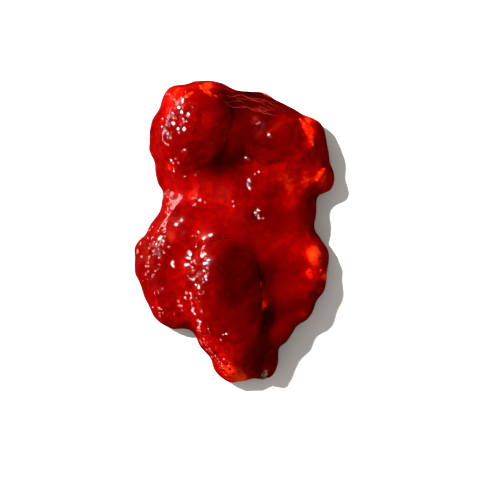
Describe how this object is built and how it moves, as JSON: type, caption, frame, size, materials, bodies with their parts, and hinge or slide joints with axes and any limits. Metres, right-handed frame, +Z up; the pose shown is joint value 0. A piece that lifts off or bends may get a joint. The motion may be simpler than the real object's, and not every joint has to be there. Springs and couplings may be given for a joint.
{
  "type": "strawberry preserve spoonful",
  "caption": "Glossy spoonful of strawberry preserve: soft cooked strawberries set in a low mound of clear red jelly, resting on its flat underside.",
  "frame": {"origin": "on the flat underside, under the middle of the bounding box", "axes": "+Z up out of the mound; +Y from the tip of the front berry to the two berries at the back; +X to the right as seen from above with the back at the top"},
  "size_m": [0.0496, 0.076, 0.0158],
  "materials": {
    "jelly": "wet, glossy, translucent red fruit jelly",
    "cooked_berry": "soft cooked strawberry under a film of jelly, with small dark achenes",
    "dark_berry": "dark maroon over-cooked strawberry scrap"
  },
  "bodies": {
    "root": {"jelly": "jelly", "front_berry": "cooked_berry", "back_left_berry": "cooked_berry", "back_right_berry": "cooked_berry", "left_berry": "cooked_berry", "front_scrap": "dark_berry"}
  },
  "joints": []
}
